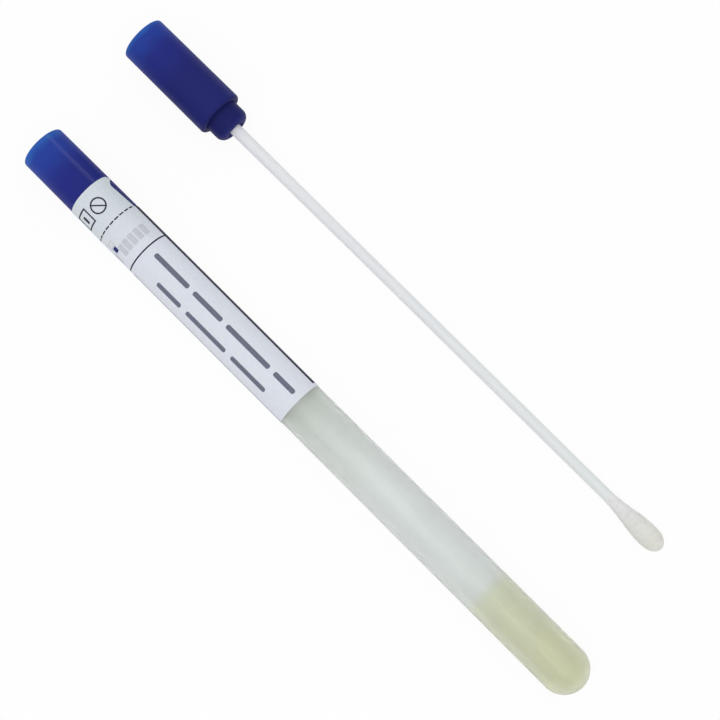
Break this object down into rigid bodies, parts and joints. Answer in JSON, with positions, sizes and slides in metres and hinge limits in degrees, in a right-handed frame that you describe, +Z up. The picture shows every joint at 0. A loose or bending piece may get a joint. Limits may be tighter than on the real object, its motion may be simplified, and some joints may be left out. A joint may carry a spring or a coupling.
{
  "type": "specimen swab tube",
  "caption": "Round-ended transport tube with gel medium, paper label, plug cap and tear-off seal, with its fibre-tipped swab on a matching cap handle beside it.",
  "frame": {"origin": "centre of the footprint of the tube and the swab lying side by side, on the surface they lie on", "axes": "+X from the caps towards the tube's round end, +Y from the tube towards the swab, +Z up"},
  "size_m": [0.1812, 0.0474, 0.0125],
  "materials": {
    "frosted_plastic": "frosted translucent moulded plastic, half gloss",
    "gel": "cloudy yellowish gel",
    "cap_plastic": "blue moulded plastic, satin, slightly translucent",
    "label_paper": "white label paper with dark blue print",
    "shaft_plastic": "white moulded plastic, satin",
    "bud_fibre": "off-white wound fibre"
  },
  "bodies": {
    "tube": {"tube": "frosted_plastic", "transport_medium": "gel", "tube_label": "label_paper", "swab_cap": "cap_plastic", "swab_shaft": "shaft_plastic", "swab_bud": "bud_fibre"},
    "cap": {"tube_cap": "cap_plastic", "seal_tab": "label_paper"}
  },
  "joints": [
    {"name": "cap_pull", "type": "slide", "parent": "tube", "child": "cap", "axis": [-1, 0, 0], "range_m": [0, 0.03]}
  ]
}
